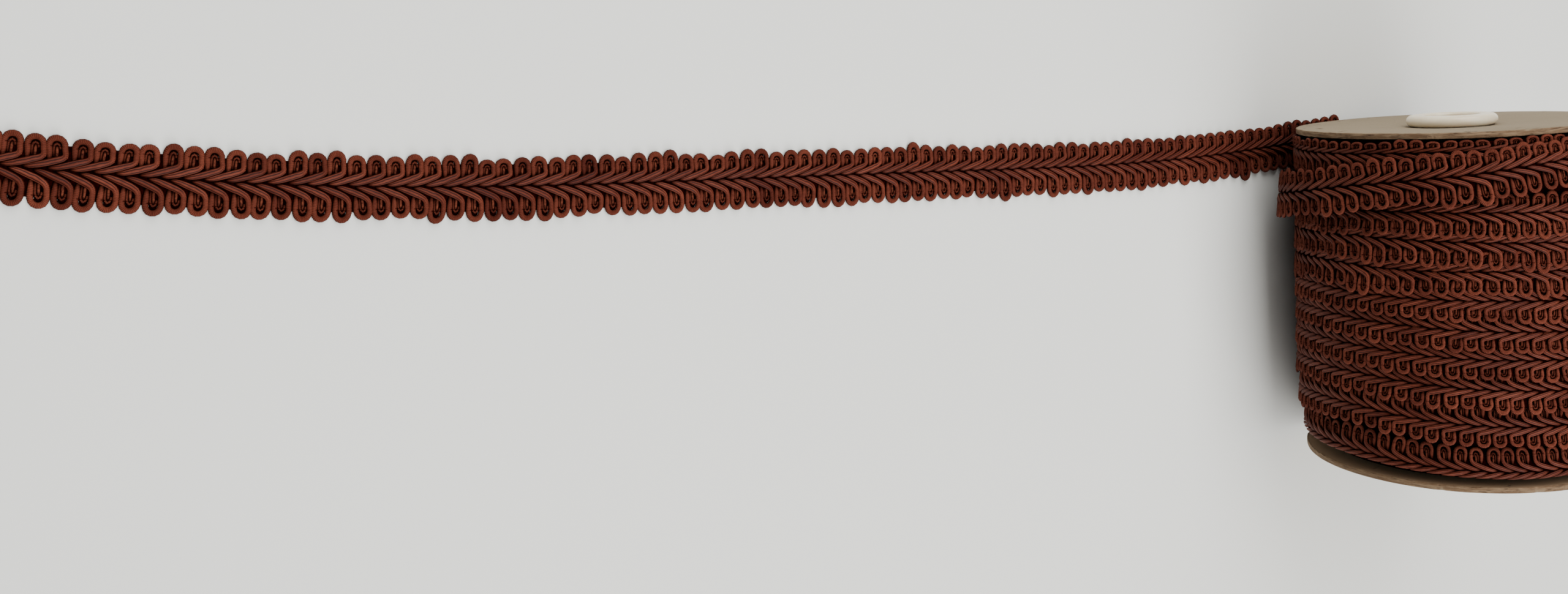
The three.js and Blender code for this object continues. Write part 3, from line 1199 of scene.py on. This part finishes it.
@dataclass
class WoundTrim:
    """The trim on the spool: its turns, and under them a body in near-black painted shade that
    stands in for the shaded turns beneath.
    """

    place: SpoolPlace
    finishes: TrimFinishes
    join: float = 2036.0  # where two lengths meet end for end under the roll, in degrees wound
    slack: float = 3098.0  # and from where the last turn lies loose
    lead: float = 9.0  # the first loop's place on the winding, in millimetres
    body_steps: int = 120
    body_bore: float = 10.4
    body_sunk: float = 1.6  # past the profile's ends, as the flanges are dished round the hub
    body_ridge: float = 0.25  # height and pitch of the ridges that the turns make
    body_ridge_pitch: float = 8.7
    body_profile: tuple = ((-48.1, 37.0), (-45.0, 37.4), (-43.4, 41.4), (-36.0, 42.4),
                           (0.0, 43.1), (36.0, 42.4), (46.0, 41.3), (48.1, 40.2))

    def lengths(self, name: str, course: WoundCourse, span: tuple[float, float], braid: Braid,
                rng: np.random.Generator, turned: bool = False) -> list[Piece]:
        """Lays the trim along a wound course, one piece for each round.

        Args:
            name: start of the pieces' names.
            course: where it lies.
            span: where along it the trim starts and ends, in millimetres.
            braid: the braid to lay.
            rng: source of the small differences between loops.
            turned: True where the trim lies end for end.

        Returns:
            The pieces.
        """
        total = int((span[1] - span[0]) // LOOP_PITCH)
        per_round = int(round(2 * math.pi * WOUND_RADIUS / LOOP_PITCH))
        made = []
        for number, first in enumerate(range(0, total, per_round)):
            count = min(per_round, total - first)
            points, groups, numbers = braid.lay(course, span[0], count, first, rng, turned)
            low = max(span[0] + (first - 1) * LOOP_PITCH, course.start)
            high = span[0] + (first + count - 1) * LOOP_PITCH
            under, faces = braid.ground(course, low, high, Layer.GROUND.value, turned)
            base = len(points)
            for group in faces:
                group.corners = group.corners + base
            numbers = {key: np.concatenate([values, np.zeros(len(under))])
                       for key, values in numbers.items()}
            made.append(mesh_piece(
                f"{name}_{number + 1:02d}", np.concatenate([points, under]), groups + faces,
                self.finishes.slots, numbers, self.place))
        LOG.info("%s: %d repeats in %d pieces", name, total, len(made))
        return made

    def body(self) -> Piece:
        """Builds the body under the outer turns, from one flange to the other, near-black as
        painted shade for the turns beneath.

        Returns:
            The piece.
        """
        spool = self.place
        table = np.array(self.body_profile)
        along = np.unique(np.concatenate([np.linspace(table[0, 0], table[-1, 0], 60),
                                          table[:, 0]]))[::-1]
        radius = np.interp(along, table[:, 0], table[:, 1])
        sunk, bore = self.body_sunk, self.body_bore
        along = np.concatenate([[along[0] - sunk], along, [along[-1] + sunk]])
        radius = np.concatenate([[bore], radius, [bore]])
        angles = 2 * math.pi * np.arange(self.body_steps) / self.body_steps
        rows = len(along)
        ridges = np.sin(along[None, :] * 2 * math.pi / self.body_ridge_pitch + angles[:, None])
        reach = radius[None, :] + self.body_ridge * ridges * (radius[None, :] > bore)
        points = np.stack([
            reach * np.cos(angles)[:, None],
            np.broadcast_to(along, reach.shape),
            spool.axis_high + reach * np.sin(angles)[:, None],
        ], axis=2).reshape(-1, 3)
        # Painted shade: the body takes the near-black ground finish in place of the shaded turns
        # beneath.
        return mesh_piece("wound_body_painted_shade", points,
                          [Faces(ring_faces(self.body_steps, rows, closed=True), 0)],
                          [self.finishes.ground], {}, spool)

    def build(self) -> list[Piece]:
        """Builds and dresses the roll.

        Returns:
            Its pieces.
        """
        rng = np.random.default_rng(SEED + 1)
        braid = Braid(WOUND, self.finishes, unevenness=1.4)
        winding = WoundCourse(self.place, WINDING, WoundCourse.TILT)
        under = WoundCourse(self.place, UNDER_FLANGE, tilt=0.0, past_face=0.75)
        join = math.radians(self.join) * WOUND_RADIUS
        lower = (winding.start + self.lead, join)
        made = self.lengths("turn_lower", winding, lower, braid, rng, turned=True)
        taut = int((math.radians(self.slack) * WOUND_RADIUS - join) // LOOP_PITCH) * LOOP_PITCH
        upper = (join, join + taut + TINY)
        made += self.lengths("turn_upper", winding, upper, braid, rng)
        loose = Braid(SLACK, self.finishes, unevenness=1.2)
        made += self.lengths("turn_slack", winding, (join + taut, winding.end), loose, rng)
        made += self.lengths("turn_by_flange", under, (under.start, under.end), braid, rng)
        made.append(self.body())
        for piece in made:
            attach(piece, "root")
            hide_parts("trim_roll")
        return made


# The spool


def deselect_all() -> None:
    """Takes the selection off everything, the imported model's nodes too."""
    bpy.ops.object.select_all(action="DESELECT")


@dataclass
class Flange:
    """A round board flange: punched hole, softly crushed rim, and a few nicks."""

    place: SpoolPlace
    side: Side
    finish: Material
    hole: float = 10.3
    around: int = 240
    rings: int = 7
    crush: float = 0.28
    sunk: float = 1.2  # how far the board is drawn in at the hub
    bend: float = 0.12  # and out of flat at its rim
    dent: float = 0.05
    nick_wide: float = 1.6  # in degrees, as the place of each nick; its depth follows
    nicks: tuple = ((118.0, 0.5), (61.0, 0.35), (236.0, 0.4), (150.0, 0.25), (318.0, 0.5))

    def build(self) -> Piece:
        """Builds and dresses the flange.

        Returns:
            The finished piece.
        """
        spool = self.place
        name = "flange_" + self.side.name.lower()
        deselect_all()
        centre = self.side.value * (spool.face_out - spool.flange_thick / 2)
        spot = spool.metres(np.array([0.0, centre, spool.axis_high]))
        bpy.ops.mesh.primitive_cylinder_add(
            vertices=self.around, radius=spool.flange_radius * MM,
            depth=spool.flange_thick * MM, location=spot, rotation=(math.pi / 2, 0, 0))
        disc = bpy.context.object
        disc.name = name + "_board"
        bpy.ops.object.transform_apply(location=True, rotation=True, scale=True)
        bpy.ops.object.mode_set(mode="EDIT")
        bpy.ops.mesh.select_mode(type="FACE")
        self.select_caps(disc)
        step = (spool.flange_radius - self.hole) / self.rings
        for _ in range(self.rings):
            bpy.ops.mesh.inset(thickness=step * MM)
        bpy.ops.mesh.bridge_edge_loops()
        bpy.ops.object.mode_set(mode="OBJECT")
        self.wear(disc)
        bevel = disc.modifiers.new("crushed_rim", "BEVEL")
        bevel.width = self.crush * MM
        bevel.segments = 3
        bevel.limit_method = "ANGLE"
        bevel.angle_limit = math.radians(50)
        bpy.ops.object.modifier_apply(modifier=bevel.name)
        bpy.ops.object.shade_smooth_by_angle(angle=math.radians(40))
        disc.data.materials.append(self.finish)
        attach(disc, "root")
        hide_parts(name)
        LOG.info("%s: %d faces", disc.name, len(disc.data.polygons))
        return disc

    @staticmethod
    def select_caps(disc: Piece) -> None:
        """Selects the two flat faces of the disc in edit mode, and nothing else.

        Args:
            disc: the board, active and in edit mode.
        """
        bpy.ops.mesh.select_all(action="DESELECT")
        bpy.ops.object.mode_set(mode="OBJECT")
        for face in disc.data.polygons:
            face.select = abs(face.normal.y) > 0.9
        bpy.ops.object.mode_set(mode="EDIT")

    def wear(self, disc: Piece) -> None:
        """Makes the board a little wavy and knocks a few nicks into its rim.

        Args:
            disc: the board, in object mode.
        """
        spool = self.place
        for vertex in disc.data.vertices:
            x = vertex.co.x / MM - spool.axis_x
            z = vertex.co.z / MM - spool.axis_high
            radius = math.hypot(x, z)
            angle = math.degrees(math.atan2(z, x)) % 360
            share = max(0.0, (radius - self.hole) / (spool.flange_radius - self.hole))
            seed = 1.0 if self.side is Side.TOP else 4.0
            bend = float(wave(np.array(angle), 180.0, seed)) * self.bend * share**2
            dish = self.side.value * self.sunk * (1 - share) ** 2
            vertex.co.y += (bend - dish) * MM
            if share > 0.98:
                dent = self.dent * float(wave(np.array(angle), 23.0, seed))
                for where, deep in self.nicks:
                    gap = abs((angle - where + 180) % 360 - 180)
                    dent += deep * max(0.0, 1 - gap / self.nick_wide)
                shrink = 1 - max(0.0, dent) / radius
                vertex.co.x = (spool.axis_x + x * shrink) * MM
                vertex.co.z = (spool.axis_high + z * shrink) * MM


@dataclass
class Hub:
    """Half of the moulded hub: a barrel, and the rolled lip over the flange's face."""

    place: SpoolPlace
    side: Side
    finish: Material
    bore: float = 7.5
    barrel: float = 10.0
    lip: float = 12.5
    lip_out: float = 2.4  # the lip's top and its seat, from the plane of the flange's rim
    lip_in: float = -1.0
    gap: float = 0.3  # between the halves
    mouth: float = 0.9  # radius of the bore's rounded edge
    around: int = 128
    round_steps: int = 9

    def outline(self) -> list[tuple[float, float]]:
        """Draws the half section.

        Returns:
            Its points, as radius and distance from the middle of the spool.
        """
        seat = self.place.face_out + self.lip_in
        top = self.place.face_out + self.lip_out
        half = (top - seat) / 2
        points = [(self.bore, self.gap / 2), (self.barrel, self.gap / 2), (self.barrel, seat)]
        points += self.arc(self.lip - half, (seat + top) / 2, half, -90, 180)
        points += self.arc(self.bore + self.mouth, top - self.mouth, self.mouth, 90, 90)
        return points

    def arc(self, radius: float, along: float, size: float, start: float,
            turn: float) -> list[tuple[float, float]]:
        """An arc of the half section.

        Args:
            radius: its centre's distance from the axis.
            along: its centre's distance from the middle of the spool.
            size: its radius.
            start: its first point's angle, in degrees.
            turn: the angle that it goes through.

        Returns:
            Its points.
        """
        angles = [math.radians(start + turn * step / self.round_steps)
                  for step in range(self.round_steps + 1)]
        return [(radius + size * math.cos(a), along + size * math.sin(a)) for a in angles]

    def build(self) -> Piece:
        """Builds and dresses the half hub.

        Returns:
            The finished piece.
        """
        name = "hub_" + self.side.name.lower()
        spool = self.place
        points = [spool.metres(np.array([radius, self.side.value * along, spool.axis_high]))
                  for radius, along in self.outline()]
        edges = [(i, (i + 1) % len(points)) for i in range(len(points))]
        mesh = bpy.data.meshes.new(name + "_moulding")
        mesh.from_pydata([tuple(p) for p in points], edges, [])
        piece = bpy.data.objects.new(name + "_moulding", mesh)
        bpy.context.collection.objects.link(piece)
        deselect_all()
        bpy.context.view_layer.objects.active = piece
        piece.select_set(True)
        bpy.ops.object.mode_set(mode="EDIT")
        bpy.ops.mesh.select_all(action="SELECT")
        centre = spool.metres(np.array([0.0, 0.0, spool.axis_high]))
        bpy.ops.mesh.spin(steps=self.around, angle=2 * math.pi, center=tuple(centre),
                          axis=(0.0, 1.0, 0.0), dupli=False)
        bpy.ops.mesh.select_all(action="SELECT")
        bpy.ops.mesh.remove_doubles(threshold=0.00001)
        bpy.ops.mesh.normals_make_consistent(inside=False)
        bpy.ops.object.mode_set(mode="OBJECT")
        bpy.ops.object.shade_smooth_by_angle(angle=math.radians(50))
        piece.data.materials.append(self.finish)
        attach(piece, "root")
        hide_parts(name)
        LOG.info("%s: %d faces", piece.name, len(piece.data.polygons))
        return piece


@dataclass
class Studio:
    """A plain table, soft lights and the camera at the photograph's angle."""

    place: SpoolPlace
    focal_pixels: float = 2192.3
    photo_wide: float = 2560.0
    photo_high: float = 970.0
    optical_row: float = 262.7
    camera_at: tuple = (-363.8, 80.5, 314.2)
    camera_turn: tuple = (-2.254, -27.257, -4.110)
    sensor: float = 36.0
    room: float = 0.06

    def table(self) -> None:
        """Adds the table top."""
        deselect_all()
        bpy.ops.mesh.primitive_plane_add(size=6.0, location=(0.0, 0.0, 0.0))
        top = bpy.context.object
        top.name = "table_top"
        top.data.materials.append(TableFinish().material())

    def camera(self) -> None:
        """Adds the camera."""
        data = bpy.data.cameras.new("camera")
        data.sensor_width = self.sensor
        data.lens = self.sensor * self.focal_pixels / self.photo_wide
        data.shift_y = -(self.photo_high / 2 - self.optical_row) / self.photo_wide
        data.clip_start = 0.01
        data.clip_end = 50.0
        camera = bpy.data.objects.new("camera", data)
        camera.location = self.place.metres(np.array(self.camera_at))
        camera.rotation_euler = [math.radians(turn) for turn in self.camera_turn]
        bpy.context.collection.objects.link(camera)
        bpy.context.scene.camera = camera

    def light(self, name: str, at: tuple, aim: tuple, size: tuple, power: float) -> None:
        """Adds one soft rectangular light.

        Args:
            name: the light's name.
            at: where it hangs, in millimetres from below the spool's axis.
            aim: what it points at.
            size: its sides in metres.
            power: watts.
        """
        data = bpy.data.lights.new(name, "AREA")
        data.shape = "RECTANGLE"
        data.size, data.size_y = size
        data.energy = power
        lamp = bpy.data.objects.new(name, data)
        start = Vector(self.place.metres(np.array(at, dtype=float)))
        end = Vector(self.place.metres(np.array(aim, dtype=float)))
        lamp.location = start
        lamp.rotation_euler = (end - start).to_track_quat("-Z", "Y").to_euler()
        bpy.context.collection.objects.link(lamp)

    def surroundings(self) -> None:
        """Gives the room an even pale light."""
        world = bpy.data.worlds.new("room")
        world.use_nodes = True
        shade = world.node_tree.nodes["Background"]
        shade.inputs["Color"].default_value = (1.0, 0.99, 0.97, 1.0)
        shade.inputs["Strength"].default_value = self.room
        bpy.context.scene.world = world

    def build(self) -> None:
        """Sets the scene."""
        self.table()
        self.camera()
        self.surroundings()
        self.light("overhead", (-80, 0, 950), (-80, 0, 0), (0.8, 2.0), 23.5)
        self.light("behind", (0, 1300, 620), (0, 0, 0), (1.2, 0.8), 21.0)
        self.light("in_front", (0, -1300, 620), (0, 0, 0), (1.2, 0.8), 28.0)


def main() -> None:
    """Builds the trim, its spool and the studio, and reports each piece."""
    logging.basicConfig(level=logging.INFO, format="%(message)s")
    place = SpoolPlace.from_frame()
    studio = Studio(place)
    studio.build()
    finishes = TrimFinishes(CordFinish().material(), GROUND_FINISH.material(),
                            CORE_FINISH.material())
    LooseEnd(place, finishes).build()
    WoundTrim(place, finishes).build()
    board = BoardFinish(place).material()
    plastic = PlasticFinish().material()
    for side in Side:
        Flange(place, side, board).build()
        Hub(place, side, plastic).build()


if __name__ == "__main__":
    main()
